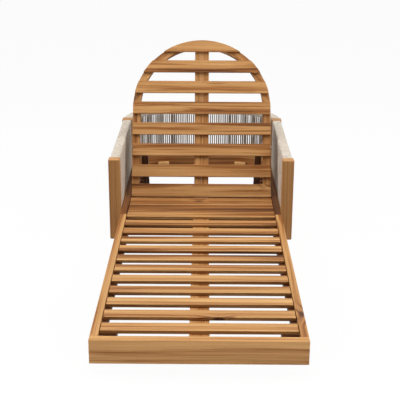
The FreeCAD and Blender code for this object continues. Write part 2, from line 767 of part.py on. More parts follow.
def make_back_slats():
    """Eight slats on the face of the back, trimmed to the arch."""
    straight = doc.addObject("Part::Box", "outline_straight")
    bind(straight, Length="backrest_width", Width="slat_thick", Height="outline_depth")
    put(straight, "-backrest_half", "-slat_face", "backrest_start")
    round_top = doc.addObject("Part::Cylinder", "outline_round")
    bind(round_top, Radius="backrest_half", Height="slat_thick")
    round_top.Placement = FreeCAD.Placement(
        FreeCAD.Vector(), FreeCAD.Rotation(FreeCAD.Vector(1, 0, 0), 90)
    )
    round_top.setExpression("Placement.Base.y", formula("-stile_half"))
    round_top.setExpression("Placement.Base.z", formula("arch_centre"))
    outline = doc.addObject("Part::Fuse", "back_outline")
    outline.Base = straight
    outline.Tool = round_top
    outline.Refine = True
    for index in range(BACK_SLATS):
        label = f"back_slat_{index + 1:02d}"
        start, width = f"next_slat_start + {index - 1} * back_pitch", "slat_width"
        if index == 0:
            start, width = "backrest_start", "low_slat_width"
        strip = doc.addObject("Part::Box", label + "_strip")
        bind(strip, Length="backrest_width", Width="slat_thick", Height=width)
        put(strip, "-backrest_half", "-slat_face", start)
        slat = doc.addObject("Part::Common", label)
        slat.Base = strip
        slat.Tool = outline
        slat.Refine = True
        put(slat, "0", "hinge_y", "hinge_height", turn="-lean")
        keep(slat, label)


def make_stay():
    """Two arms and a crossbar that prop the back on the notched rails."""
    arm = new_body("right_stay_arm")
    sketch = new_sketch(arm, "YZ_Plane", "outline")
    low = draw_arc(sketch, "stay_half", 180, 360)
    high = draw_arc(sketch, "stay_half", 0, 180, height="stay_length")
    draw_line_between(sketch, low, 2, high, 1)
    draw_line_between(sketch, high, 2, low, 1)
    for end in (1, 2):
        sketch.addConstraint(Sketcher.Constraint("PointOnObject", low, end, -1))
        sketch.addConstraint(Sketcher.Constraint("Horizontal", high, end, high, 3))
    add_pad(arm, sketch, "stay_thick")
    put(arm, "stay_inner", "bar_y", "hinge_height", turn="lean")
    holes = [("0", "0", "bar_diameter"), ("0", "stay_length", "pivot_bore")]
    add_side_holes(arm, "holes", holes, "stay_thick")
    keep_pair(arm, "stay_arm")

    bar = add_bar(
        "stay_crossbar", "bar_diameter", "bar_length", "-bar_half", "bar_y", "hinge_height"
    )
    keep(bar, "stay_crossbar")


def make_fasteners():
    """Stay pins, and the hinge pins and bolts of the frame."""
    hinge_pin = add_bolt(
        "right_hinge_pin",
        ("pivot_diameter", "pivot_length", "pivot_start"),
        ("pivot_head", "pivot_head_height", "pivot_head_start"),
        "hinge_y",
        "hinge_height",
    )
    fixings = [hinge_pin, add_mirrored(hinge_pin, "left_hinge_pin")]

    stay_pin = add_bolt(
        "right_stay_pin",
        ("pivot_diameter", "stay_pin_length", "stay_inner"),
        ("pivot_head", "pivot_head_height", "backrest_half"),
        "stay_y",
        "stay_z",
    )
    add_group("stay_pins", [stay_pin, add_mirrored(stay_pin, "left_stay_pin")])

    places = (
        ("front_post_bolt", "front_bolt_y", "rail_inner", "post_bolt_length"),
        ("rear_post_bolt", "rear_bolt_y", "rail_inner", "post_bolt_length"),
        ("leg_bolt", "leg_bolt_y", "leg_inner", "leg_bolt_length"),
    )
    for name, along, start, length in places:
        for level, height in (("low", "low_bolt"), ("high", "high_bolt")):
            bolt = add_bolt(
                f"{name}_{level}",
                ("bolt_diameter", length, start),
                ("bolt_head", "bolt_head_height", start + " - bolt_head_height"),
                along,
                height,
            )
            fixings += [bolt, add_mirrored(bolt, f"other_{name}_{level}")]
    add_group("frame_fasteners", fixings)


def check_document():
    """Stop if any object failed or any piece is empty or broken."""
    doc.recompute()
    for item in doc.Objects:
        if "Invalid" in item.State or "Error" in item.State:
            raise RuntimeError("failed object " + item.Name)
    for node in nodes:
        if node.Shape.isNull() or not node.Shape.isValid() or not node.Shape.Solids:
            raise RuntimeError("bad shape in " + node.Label)


def write_parts():
    os.makedirs("parts", exist_ok=True)
    for node in nodes:
        node.Shape.exportStep(os.path.join("parts", node.Label + ".step"))


sizes = make_sizes()
layout = make_layout()
make_deck_frame()
make_deck_slats()
make_posts()
make_arm_rails()
make_rear_rail("rear_top_rail", "core_inner", "core_outer", "top_rail_base", "top_rail_depth")
rear_bottom = make_rear_rail(
    "rear_bottom_rail", "corner_inner", "corner_radius", "rail_base", "rail_depth"
)
make_rear_legs(rear_bottom)
make_arm_rope()
make_rear_rope()
make_notched_rails()
make_back_frame()
make_back_slats()
make_stay()
make_fasteners()
check_document()
write_parts()
print(len(nodes), "pieces written")
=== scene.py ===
import json
import math
import random

import bmesh
import bpy
from bpy.props import FloatProperty, FloatVectorProperty, IntProperty, PointerProperty
from mathutils import Euler, Matrix, Vector

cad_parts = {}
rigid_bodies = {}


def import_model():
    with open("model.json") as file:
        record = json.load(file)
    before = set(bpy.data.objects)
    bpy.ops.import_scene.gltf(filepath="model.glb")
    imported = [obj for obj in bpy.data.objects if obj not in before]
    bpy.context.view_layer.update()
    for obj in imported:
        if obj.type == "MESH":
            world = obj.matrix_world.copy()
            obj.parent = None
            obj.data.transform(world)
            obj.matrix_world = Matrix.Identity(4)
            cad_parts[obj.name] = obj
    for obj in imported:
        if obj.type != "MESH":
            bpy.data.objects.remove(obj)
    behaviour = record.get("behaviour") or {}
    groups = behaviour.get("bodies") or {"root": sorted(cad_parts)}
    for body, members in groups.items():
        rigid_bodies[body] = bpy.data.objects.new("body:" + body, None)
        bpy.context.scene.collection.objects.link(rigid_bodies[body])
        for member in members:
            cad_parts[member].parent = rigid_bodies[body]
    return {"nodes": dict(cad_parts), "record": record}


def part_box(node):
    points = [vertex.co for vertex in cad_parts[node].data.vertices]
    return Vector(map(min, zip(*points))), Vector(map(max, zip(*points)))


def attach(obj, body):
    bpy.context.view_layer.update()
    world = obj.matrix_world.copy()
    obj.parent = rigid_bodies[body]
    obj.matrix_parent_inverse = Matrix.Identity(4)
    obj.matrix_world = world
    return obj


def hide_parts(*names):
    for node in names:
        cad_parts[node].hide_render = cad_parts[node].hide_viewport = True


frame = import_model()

bl_info = {
    "name": "Slatted chaise longue",
    "version": (1, 0, 0),
    "blender": (4, 5, 0),
    "location": "3D View > Sidebar > Chaise",
    "description": "Dresses a slatted wooden chaise longue with acacia, wound rope and steel",
    "category": "Object",
}

for leftover in [item for item in bpy.data.objects if item.name in ("Cube", "Light", "Camera")]:
    bpy.data.objects.remove(leftover)

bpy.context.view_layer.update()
NODES = frame["nodes"]
BODY_OF = {
    name: body
    for body, members in frame["record"]["behaviour"]["bodies"].items()
    for name in members
}

# How far the back leans from upright in the frame, and where the rounded rear band turns.
LEAN = math.radians(26.0)
REAR_POST_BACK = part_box("right_rear_post")[1].y
BAND_LOW, BAND_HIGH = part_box("rear_rope")
BAND_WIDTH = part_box("right_arm_bottom_rail")[1].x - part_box("right_arm_bottom_rail")[0].x
CORNER_RADIUS = BAND_HIGH.y - REAR_POST_BACK
CORNER_CENTRE = BAND_HIGH.x - CORNER_RADIUS
BAND_MIDDLE = CORNER_RADIUS - BAND_WIDTH / 2

# Which way the grain runs in a board, as a turn that brings it onto X.
ALONG_X = (0.0, 0.0, 0.0)
ALONG_Y = (0.0, 0.0, math.radians(-90))
ALONG_Z = (0.0, math.radians(90), 0.0)
ALONG_BACK_X = (LEAN, 0.0, 0.0)
ALONG_BACK_UP = (LEAN, math.radians(90), 0.0)
ALONG_ARCH_RIGHT = (LEAN, math.radians(-45), 0.0)
ALONG_ARCH_LEFT = (LEAN, math.radians(45), 0.0)
ALONG_STAY = (-LEAN, math.radians(90), 0.0)

# Where in the tree each group of boards begins, and how far on the next board lies.
FRAME_SEED, FILLER_SEED, DECK_SLAT_SEED = 0.5, 21.0, 61.0
ARM_SEED, REAR_SEED, BACK_SEED, BACK_SLAT_SEED = 97.0, 120.0, 130.0, 160.0
SEED_STEP = 1.618

# Tone of the deck slats: that of the first, how much darker each next one is, which paints in the
# shade of the back and arms towards the rear, and their spread.
# The seed of the tone draw was picked by search, so that the slats come near the photograph's.
SLAT_TONE, SLAT_SHADE_FALL, SLAT_SPREAD = 0.45, 0.036, 0.2
SLAT_TONE_DRAW, SLAT_FIGURE_DRAW, BACK_SLAT_DRAW = 6115, 4, 11

# Layers of the grain: how fine they are along a board and across it, and how much they show.
SWAY_SCALE = (0.9, 4.0, 4.0)
BAND_SCALE = (18.0, 44.0, 44.0)
STREAK_SCALE = (26.0, 140.0, 140.0)
FIBRE_SCALE = (5.0, 380.0, 380.0)
PORE_SCALE = (55.0, 1150.0, 1150.0)
RING_SCALE = 42.0
RING_WEIGHT, STREAK_WEIGHT, FIBRE_WEIGHT = 0.24, 0.95, 0.65

# Where a board lies in the tree: its step along the trunk and its reach from the pith, how far
# the pith sways, and how much the growth lines are drawn out along the board.
TRUNK_STEP = 3.71
PITH_REACH = 0.16
SWAY_REACH = 0.045
DRAWN_OUT = 0.05

# Knots: how many cells a metre has, the share of cells without one, and their reach in a cell.
KNOTS_ALONG, KNOTS_ACROSS = 4.6, 9.0
KNOT_RARITY = 0.86
KNOT_NEAR, KNOT_HEART = (0.45, 0.0), (0.13, 0.05)
KNOT_BULGE = 0.022

# Winding: where its turns begin to fan out and stop, how uneven they are, how fine their wander
# is, and how wide they bend, as a share of the rope's diameter.
FAN_START, FAN_END = CORNER_CENTRE - 0.06, CORNER_CENTRE + 0.005
FAN_UNEVEN = 0.55
WANDER_SCALE = (40.0, 40.0, 9.0)
ROPE_SEED, ROPE_SEED_STEP = 3, 5
STRAND_LEGS = 6
BEND_SHARE = 0.8

# Twist of the rope: its plies, and the yarns that run across them.
PLIES, YARNS, YARN_TWIST = 3.0, 9.0, -14.0

# Painted shade on the inner wall of the rear rope, where the back shades it: its strength, where it
# begins and is full from the middle of the band inwards, and the same from the top of the band
# downwards, in metres.
REAR_SHADE_STRENGTH = 0.8
SHADE_INWARDS = (-0.006, 0.01)
SHADE_DOWNWARDS = (0.015, 0.04)

# Shine shared by oiled wood and rope, and the width of the eased edges on steel.
LOW_SHINE = 0.2
STEEL_EDGE = 0.0005

# Moves values from 0 to 1 to both sides of 0.
CENTRED = (-0.5, -0.5, -0.5)

# Studio: its white, the floor's reach, and the share of the floor that the camera sees as white.
WHITE = (1.0, 1.0, 1.0, 1.0)
FLOOR_REACH = 30.0
FLOOR_SEEN_WHITE = 0.96

# Lamps: name, place, the point they face, size, spread in degrees and the setting with their power.
LAMPS = (
    ("overhead_lamp", (0.0, 0.05, 3.4), (0.0, 0.0, 0.0), (2.0, 2.0), 180.0, "key"),
    ("left_lamp", (-2.7, -0.1, 2.2), (0.0, 0.0, 0.2), (1.6, 1.6), 180.0, "side"),
    ("right_lamp", (2.7, -0.1, 2.2), (0.0, 0.0, 0.2), (1.6, 1.6), 180.0, "side"),
    ("front_lamp", (0.0, -2.1, 2.4), (0.0, -2.1, 0.0), (2.4, 1.0), 50.0, "front"),
)


def linear(red, green, blue):
    """A colour given by its 0 to 255 screen values."""
    return tuple(
        value / 12.92 if value <= 0.04045 else ((value + 0.055) / 1.055) ** 2.4
        for value in (red / 255, green / 255, blue / 255)
    )


class AcaciaFinish(bpy.types.PropertyGroup):
    """Oiled acacia of every board"""

    pale: FloatVectorProperty(
        name="Sapwood", description="Palest streaks", subtype="COLOR", size=3,
        min=0.0, max=1.0, default=linear(222, 177, 118),
    )
    honey: FloatVectorProperty(
        name="Honey", description="Main colour of the wood", subtype="COLOR", size=3,
        min=0.0, max=1.0, default=linear(195, 146, 91),
    )
    amber: FloatVectorProperty(
        name="Amber", description="Heartwood", subtype="COLOR", size=3,
        min=0.0, max=1.0, default=linear(152, 97, 49),
    )
    umber: FloatVectorProperty(
        name="Umber", description="Darkest grain lines and knots", subtype="COLOR", size=3,
        min=0.0, max=1.0, default=linear(74, 41, 21),
    )
    edge: FloatProperty(
        name="Eased edge", description="Rounding of the board edges", unit="LENGTH",
        min=0.0, default=0.0016,
    )


class RopeFinish(bpy.types.PropertyGroup):
    """Twisted rope of the arms and the rear band"""

    diameter: FloatProperty(
        name="Diameter", description="Rope thickness", unit="LENGTH", min=0.001, default=0.0053,
    )
    pitch: FloatProperty(
        name="Strand pitch", description="Distance between upright strands", unit="LENGTH",
        min=0.002, default=0.0106,
    )
    lay: FloatProperty(
        name="Lay", description="Length of one full twist", unit="LENGTH", min=0.002, default=0.017,
    )
    wander: FloatProperty(
        name="Wander", description="How far a strand strays from straight", unit="LENGTH",
        min=0.0, default=0.0007,
    )
    fan: FloatProperty(
        name="Fan", description="How far the turns of the rear band fan out before its corners",
        subtype="ANGLE", min=0.0, default=math.radians(12.5),
    )
    sides: IntProperty(name="Sides", description="Faces round the rope", min=5, default=8)
    # Cream on the crowns of the twist; greige painted into its hollows as shade, and also taken by darker
    # strands and flecks.
    cream: FloatVectorProperty(
        name="Cream", description="Crown of the rope", subtype="COLOR", size=3,
        min=0.0, max=1.0, default=linear(249, 241, 229),
    )
    shade: FloatVectorProperty(
        name="Greige", description="Hollows of the twist", subtype="COLOR", size=3,
        min=0.0, max=1.0, default=linear(182, 166, 146),
    )
    # Dark grey painted into the rear band's inner wall as shade.
    painted_shade: FloatVectorProperty(
        name="Painted shade", description="Rope greyed as painted shade", subtype="COLOR", size=3,
        min=0.0, max=1.0, default=linear(94, 74, 52),
    )


class SteelFinish(bpy.types.PropertyGroup):
    """Plated bolts and pins"""

    plate: FloatVectorProperty(
        name="Plating", description="Colour of the plating", subtype="COLOR", size=3,
        min=0.0, max=1.0, default=linear(176, 174, 170),
    )


class StudioSetting(bpy.types.PropertyGroup):
    """Camera and lamps"""

    lens: FloatProperty(name="Lens", description="Focal length in millimetres", default=83.0)
    stand: FloatVectorProperty(
        name="Camera place", description="Where the camera stands", subtype="TRANSLATION", size=3,
        default=(0.01164, -3.5341, 1.42185),
    )
    tilt: FloatProperty(
        name="Tilt", description="Camera below level", subtype="ANGLE", default=math.radians(18.976),
    )
    turn: FloatProperty(
        name="Turn", description="Camera to the left", subtype="ANGLE", default=math.radians(0.25),
    )
    roll: FloatProperty(
        name="Roll", description="Camera about its axis", subtype="ANGLE", default=math.radians(0.248),
    )
    sky: FloatProperty(name="Sky", description="Level of the even light", min=0.0, default=0.13)
    key: FloatProperty(name="Key", description="Overhead lamp in watts", min=0.0, default=64.0)
    side: FloatProperty(name="Side", description="Each side lamp in watts", min=0.0, default=58.0)
    front: FloatProperty(
        name="Front", description="Lamp on the floor before the chaise in watts", min=0.0, default=25.0
    )


class ChaiseSettings(bpy.types.PropertyGroup):
    """Everything a user would change"""

    wood: PointerProperty(type=AcaciaFinish)
    rope: PointerProperty(type=RopeFinish)
    steel: PointerProperty(type=SteelFinish)
    studio: PointerProperty(type=StudioSetting)


def settings():
    """The settings of this scene."""
    return bpy.context.scene.chaise


def place_node(tree, kind, inputs=None, **options):
    """Add a node, set its options and its unlinked inputs, and link the rest."""
    item = tree.nodes.new(kind)
    for name, value in options.items():
        setattr(item, name, value)
    for name, value in (inputs or {}).items():
        socket = item.inputs[name]
        if isinstance(value, bpy.types.NodeSocket):
            tree.links.new(value, socket)
        else:
            socket.default_value = value
    return item


def do_math(tree, operation, *values):
    """Result of a math node on values or sockets."""
    return place_node(tree, "ShaderNodeMath", dict(enumerate(values)), operation=operation).outputs[0]


def scale_vector(tree, vector, factors):
    """A vector times a factor for each axis."""
    return place_node(
        tree, "ShaderNodeVectorMath", {0: vector, 1: factors}, operation="MULTIPLY"
    ).outputs[0]


def add_vectors(tree, first, second):
    """Sum of two vectors."""
    return place_node(tree, "ShaderNodeVectorMath", {0: first, 1: second}, operation="ADD").outputs[0]


def mix_colour(tree, factor, first, second):
    """Blend of two colours. The mix node's colour sockets are its seventh and eighth."""
    inputs = {0: factor, 6: first, 7: second}
    return place_node(tree, "ShaderNodeMix", inputs, data_type="RGBA").outputs[2]


def soft_step(tree, value, low, high):
    """Smooth rise from 0 to 1 between two values, or fall where the first is the larger."""
    return place_node(
        tree,
        "ShaderNodeMapRange",
        {"Value": value, "From Min": low, "From Max": high},
        interpolation_type="SMOOTHSTEP",
    ).outputs["Result"]


def noise(tree, vector, scale, detail=2.0, roughness=0.5):
    """Outputs of a noise texture with its own scale for each axis."""
    place = scale_vector(tree, vector, scale)
    return place_node(
        tree,
        "ShaderNodeTexNoise",
        {"Vector": place, "Scale": 1.0, "Detail": detail, "Roughness": roughness},
    ).outputs


def new_group(name, inputs, outputs):
    """Shader node group with named sockets."""
    tree = bpy.data.node_groups.new(name, "ShaderNodeTree")
    for label, kind in inputs:
        tree.interface.new_socket(label, in_out="INPUT", socket_type="NodeSocket" + kind)
    for label, kind in outputs:
        tree.interface.new_socket(label, in_out="OUTPUT", socket_type="NodeSocket" + kind)
    return tree, tree.nodes.new("NodeGroupInput"), tree.nodes.new("NodeGroupOutput")


def place_in_tree(tree, place, seed):
    """Each board's own place in the tree: far along the trunk, near the pith."""
    chance = place_node(tree, "ShaderNodeTexWhiteNoise", {"W": seed}, noise_dimensions="1D").outputs["Color"]
    aside = scale_vector(tree, add_vectors(tree, chance, CENTRED), (0.0, PITH_REACH, PITH_REACH))
    far = do_math(tree, "MULTIPLY", seed, TRUNK_STEP)
    trunk = place_node(tree, "ShaderNodeCombineXYZ", {0: far}).outputs[0]
    return add_vectors(tree, add_vectors(tree, place, aside), trunk)


def knot_masks(tree, board):
    """A few knots that go through the board: the wood near them, and their dark hearts."""
    parts = place_node(tree, "ShaderNodeSeparateXYZ", {0: board}).outputs
    along = do_math(tree, "MULTIPLY", parts[0], KNOTS_ALONG)
    across = do_math(tree, "MULTIPLY", do_math(tree, "ADD", parts[1], parts[2]), KNOTS_ACROSS)
    flat = place_node(tree, "ShaderNodeCombineXYZ", {0: along, 1: across}).outputs[0]
    cells = place_node(
        tree, "ShaderNodeTexVoronoi", {"Vector": flat, "Scale": 1.0}, voronoi_dimensions="2D"
    ).outputs
    pick = place_node(tree, "ShaderNodeSeparateColor", {0: cells["Color"]}).outputs[0]
    chosen = do_math(tree, "GREATER_THAN", pick, KNOT_RARITY)
    return [
        do_math(tree, "MULTIPLY", soft_step(tree, cells["Distance"], far, close), chosen)
        for far, close in (KNOT_NEAR, KNOT_HEART)
    ]


def growth_path(tree, board, near):
    """The board drawn out along its length, with a wandering pith and bulges round the knots."""
    sway = noise(tree, board, SWAY_SCALE, detail=1.0)["Color"]
    swayed = scale_vector(tree, add_vectors(tree, sway, CENTRED), (0.0, SWAY_REACH, SWAY_REACH))
    drawn = add_vectors(tree, swayed, scale_vector(tree, board, (DRAWN_OUT, 1.0, 1.0)))
    out = do_math(tree, "MULTIPLY", near, KNOT_BULGE)
    bulge = place_node(tree, "ShaderNodeCombineXYZ", {1: out}).outputs[0]
    return add_vectors(tree, drawn, bulge)


def ring_lines(tree, path):
    """Growth rings about the pith."""
    return place_node(
        tree,
        "ShaderNodeTexWave",
        {"Vector": path, "Scale": RING_SCALE, "Distortion": 1.2, "Detail": 2.0, "Detail Scale": 5.0},
        wave_type="RINGS",
        rings_direction="X",
        wave_profile="SAW",
    ).outputs["Fac"]


def wood_level(tree, given, band, layers):
    """How pale the wood is: its tone, broad bands and finer layers, deeper in a lively board."""
    centred = do_math(tree, "SUBTRACT", soft_step(tree, band, 0.28, 0.72), 0.5)
    level = do_math(tree, "MULTIPLY_ADD", centred, given["Figure"], given["Tone"])
    depth = do_math(tree, "MULTIPLY_ADD", given["Figure"], 0.6, 0.4)
    for layer, weight in layers:
        centred = do_math(tree, "MULTIPLY", do_math(tree, "SUBTRACT", layer, 0.5), weight)
        level = do_math(tree, "MULTIPLY_ADD", centred, depth, level)
    return level


def wood_colour(tree, given, level, marks):
    """From umber lines through amber and honey to pale sapwood, with dark marks."""
    wood = mix_colour(tree, soft_step(tree, level, 0.02, 0.46), given["Amber"], given["Honey"])
    wood = mix_colour(tree, soft_step(tree, level, 0.46, 0.95), wood, given["Pale"])
    wood = mix_colour(tree, soft_step(tree, level, 0.12, -0.4), wood, given["Umber"])
    for mask, weight in marks:
        wood = mix_colour(tree, do_math(tree, "MULTIPLY", mask, weight), wood, given["Umber"])
    return wood


def acacia_figure():
    """Grain, heartwood, pores and knots of one acacia board, with its length along X."""
    if "acacia_figure" in bpy.data.node_groups:
        return bpy.data.node_groups["acacia_figure"]
    inputs = (
        ("Board", "Vector"), ("Seed", "Float"), ("Tone", "Float"), ("Figure", "Float"),
        ("Pale", "Color"), ("Honey", "Color"), ("Amber", "Color"), ("Umber", "Color"),
    )
    outputs = (("Color", "Color"), ("Roughness", "Float"), ("Height", "Float"))
    tree, entry, leave = new_group("acacia_figure", inputs, outputs)
    given = entry.outputs

    board = place_in_tree(tree, given["Board"], given["Seed"])
    near, heart = knot_masks(tree, board)
    path = growth_path(tree, board, near)
    rings = ring_lines(tree, path)
    band = noise(tree, path, BAND_SCALE)["Fac"]
    streak = noise(tree, path, STREAK_SCALE, detail=3.0, roughness=0.55)["Fac"]
    fibre = noise(tree, board, FIBRE_SCALE, detail=3.0)["Fac"]
    pore = soft_step(tree, noise(tree, board, PORE_SCALE, detail=1.0)["Fac"], 0.64, 0.76)

    layers = ((rings, RING_WEIGHT), (streak, STREAK_WEIGHT), (fibre, FIBRE_WEIGHT))
    level = wood_level(tree, given, band, layers)
    ringed = do_math(tree, "MULTIPLY", near, soft_step(tree, rings, 0.7, 0.2))
    marks = ((ringed, 0.6), (heart, 0.9), (pore, 0.4))
    tree.links.new(wood_colour(tree, given, level, marks), leave.inputs["Color"])

    rough = do_math(tree, "MULTIPLY_ADD", fibre, 0.16, 0.46)
    rough = do_math(tree, "MULTIPLY_ADD", pore, 0.15, rough)
    tree.links.new(rough, leave.inputs["Roughness"])
    relief = do_math(tree, "MULTIPLY_ADD", rings, 0.3, do_math(tree, "MULTIPLY", fibre, 0.5))
    tree.links.new(do_math(tree, "SUBTRACT", relief, pore), leave.inputs["Height"])
    return tree


def rear_path_group():
    """Unrolls the rounded rear band, so that the grain follows it: run, height and depth."""
    if "rear_path" in bpy.data.node_groups:
        return bpy.data.node_groups["rear_path"]
    tree, entry, leave = new_group("rear_path", (("Place", "Vector"),), (("Board", "Vector"),))
    parts = place_node(tree, "ShaderNodeSeparateXYZ", {0: entry.outputs["Place"]}).outputs
    out = do_math(tree, "ABSOLUTE", parts[0])
    across = do_math(tree, "MAXIMUM", do_math(tree, "SUBTRACT", out, CORNER_CENTRE), 0.0)
    back = do_math(tree, "SUBTRACT", parts[1], REAR_POST_BACK)
    turned = do_math(tree, "MULTIPLY", do_math(tree, "ARCTAN2", across, back), BAND_MIDDLE)
    run = do_math(tree, "ADD", do_math(tree, "MINIMUM", out, CORNER_CENTRE), turned)
    signed = do_math(tree, "MULTIPLY", run, do_math(tree, "SIGN", parts[0]))
    squares = [do_math(tree, "MULTIPLY", leg, leg) for leg in (across, back)]
    depth = do_math(tree, "SQRT", do_math(tree, "ADD", *squares))
    board = place_node(tree, "ShaderNodeCombineXYZ", {0: signed, 1: parts[2], 2: depth}).outputs[0]
    tree.links.new(board, leave.inputs["Board"])
    return tree


def new_material(name):
    """Empty material with its shader and output."""
    material = bpy.data.materials.new(name)
    material.use_nodes = True
    tree = material.node_tree
    tree.nodes.clear()
    shader = tree.nodes.new("ShaderNodeBsdfPrincipled")
    output = tree.nodes.new("ShaderNodeOutputMaterial")
    tree.links.new(shader.outputs[0], output.inputs["Surface"])
    return material, tree, shader


def unroll_band(tree, place):
    """Place on the rear band: run, height and depth."""
    unroll = place_node(tree, "ShaderNodeGroup", node_tree=rear_path_group())
    tree.links.new(place, unroll.inputs["Place"])
    return unroll.outputs["Board"]


def add_bump(tree, shader, height, strength, distance):
    """Relief of a surface from a height."""
    bump = place_node(tree, "ShaderNodeBump", {"Strength": strength, "Distance": distance, "Height": height})
    tree.links.new(bump.outputs[0], shader.inputs["Normal"])


def acacia_material(name, turn, seed, tone, figure, rounded=False):
    """Oiled acacia for one board."""
    wood = settings().wood
    material, tree, shader = new_material("acacia_" + name)
    place = tree.nodes.new("ShaderNodeTexCoord").outputs["Object"]
    low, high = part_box(name)
    middle = (low + high) / 2
    if rounded:
        place = unroll_band(tree, place)
        middle = Vector((0.0, middle.z, BAND_MIDDLE))
    centre = Euler(turn).to_matrix() @ -middle
    board = place_node(
        tree, "ShaderNodeMapping", {"Vector": place, "Rotation": turn, "Location": centre}
    ).outputs[0]
    grain = place_node(tree, "ShaderNodeGroup", node_tree=acacia_figure())
    tree.links.new(board, grain.inputs["Board"])
    for label, value in (("Seed", seed), ("Tone", tone), ("Figure", figure)):
        grain.inputs[label].default_value = value
    for label in ("Pale", "Honey", "Amber", "Umber"):
        grain.inputs[label].default_value = (*getattr(wood, label.lower()), 1.0)
    tree.links.new(grain.outputs["Color"], shader.inputs["Base Color"])
    tree.links.new(grain.outputs["Roughness"], shader.inputs["Roughness"])
    add_bump(tree, shader, grain.outputs["Height"], 0.25, 0.0006)
    shader.inputs["Specular IOR Level"].default_value = LOW_SHINE
    return material


def soft_shading_tree():
    """Shades a solid smoothly before its edges are eased."""
    if "soft_shading" in bpy.data.node_groups:
        return bpy.data.node_groups["soft_shading"]
    tree = bpy.data.node_groups.new("soft_shading", "GeometryNodeTree")
    tree.interface.new_socket("Geometry", in_out="INPUT", socket_type="NodeSocketGeometry")
    tree.interface.new_socket("Geometry", in_out="OUTPUT", socket_type="NodeSocketGeometry")
    entry = tree.nodes.new("NodeGroupInput")
    leave = tree.nodes.new("NodeGroupOutput")
    smooth = place_node(tree, "GeometryNodeSetShadeSmooth", {"Geometry": entry.outputs[0]})
    tree.links.new(smooth.outputs[0], leave.inputs[0])
    return tree


def ease_edges(item, width):
    """Round the sharp edges of a solid and shade it evenly."""
    weld = item.modifiers.new("joined_faces", "WELD")
    weld.merge_threshold = 0.00002
    flat = item.modifiers.new("whole_faces", "DECIMATE")
    flat.decimate_type = "DISSOLVE"
    flat.angle_limit = math.radians(0.5)
    smooth = item.modifiers.new("soft_shading", "NODES")
    smooth.node_group = soft_shading_tree()
    bevel = item.modifiers.new("eased_edges", "BEVEL")
    bevel.width = width
    bevel.segments = 3
    bevel.limit_method = "ANGLE"
    bevel.angle_limit = math.radians(40)
    bevel.use_clamp_overlap = True
    normals = item.modifiers.new("even_normals", "WEIGHTED_NORMAL")
    normals.weight = 50
    normals.keep_sharp = False


def dress(name, material, edge):
    """Give a solid its finish."""
    item = NODES[name]
    item.data.materials.clear()
    item.data.materials.append(material)
    ease_edges(item, edge)


def dress_boards(boards, seed_start, rounded=False):
    """Finish boards given as name, grain direction, tone and figure."""
    edge = settings().wood.edge
    for index, (name, turn, tone, figure) in enumerate(boards):
        seed = seed_start + index * SEED_STEP
        dress(name, acacia_material(name, turn, seed, tone, figure, rounded), edge)


def nodes_named(start="", end=""):
    """Names of the nodes that begin and end so, in order."""
    return sorted(name for name in NODES if name.startswith(start) and name.endswith(end))


class ChaiseOperator(bpy.types.Operator):
    """Common ground of the steps"""

    bl_options = {"REGISTER"}


class CHAISE_OT_deck(ChaiseOperator):
    """Finish the apron, rails, legs and slats of the deck"""

    bl_idname = "chaise.deck"
    bl_label = "Deck"

    def execute(self, context):
        # Painted shade: the low tones of the rear rails, seat cross rail, hinge cross rails, ledgers, front
        # legs and notched rails stand in for the shade under the deck and beside the arms; the pale tone of
        # the rear legs is painted light on their tops.
        boards = [
            ("front_apron", ALONG_X, 0.3, 0.5),
            ("left_front_rail", ALONG_Y, 0.2, 0.6),
            ("right_front_rail", ALONG_Y, 0.14, 0.6),
            ("left_rear_rail", ALONG_Y, -0.28, 0.4),
            ("right_rear_rail", ALONG_Y, -0.15, 0.4),
            ("seat_cross_rail", ALONG_X, -0.75, 0.4),
            ("hinge_cross_rails", ALONG_X, 0.0, 0.4),
            ("middle_stringer", ALONG_Y, 0.22, 0.5),
            ("ledgers", ALONG_Y, -0.5, 0.3),
            ("left_front_leg", ALONG_Z, -0.5, 0.3),
            ("right_front_leg", ALONG_Z, -0.5, 0.3),
            ("rear_legs", ALONG_Z, 0.85, 0.4),
            ("left_notched_rail", ALONG_Y, -0.3, 0.4),
            ("right_notched_rail", ALONG_Y, -0.3, 0.4),
        ]
        dress_boards(boards, FRAME_SEED)
        # Painted shade: the seat fillers take a low tone for the shade of the back and arms.
        dress_boards([("seat_fillers", ALONG_X, 0.12, 0.8)], FILLER_SEED)
        shade, grain = random.Random(SLAT_TONE_DRAW), random.Random(SLAT_FIGURE_DRAW)
        boards = []
        for index, name in enumerate(nodes_named("deck_slat")):
            # Painted shade: each slat further back is darker.
            tone = SLAT_TONE - SLAT_SHADE_FALL * index + shade.uniform(-SLAT_SPREAD, SLAT_SPREAD)
            boards.append((name, ALONG_X, tone, grain.uniform(0.5, 1.0)))
        dress_boards(boards, DECK_SLAT_SEED)
        return {"FINISHED"}


class CHAISE_OT_arms(ChaiseOperator):
    """Finish the posts and the rails of the arms and the rear band"""

    bl_idname = "chaise.arms"
    bl_label = "Arms"

    def execute(self, context):
        boards = [(name, ALONG_Z, 0.32, 0.15) for name in nodes_named(end="_post")]
        boards += [(name, ALONG_Y, 0.3, 0.4) for name in nodes_named(end="_rail") if "_arm_" in name]
        dress_boards(boards, ARM_SEED)
        # Painted shade: the rear band's rails take a low tone for the shade behind the back.
        boards = [(name, ALONG_X, 0.06, 0.5) for name in ("rear_top_rail", "rear_bottom_rail")]
        dress_boards(boards, REAR_SEED, rounded=True)
        return {"FINISHED"}


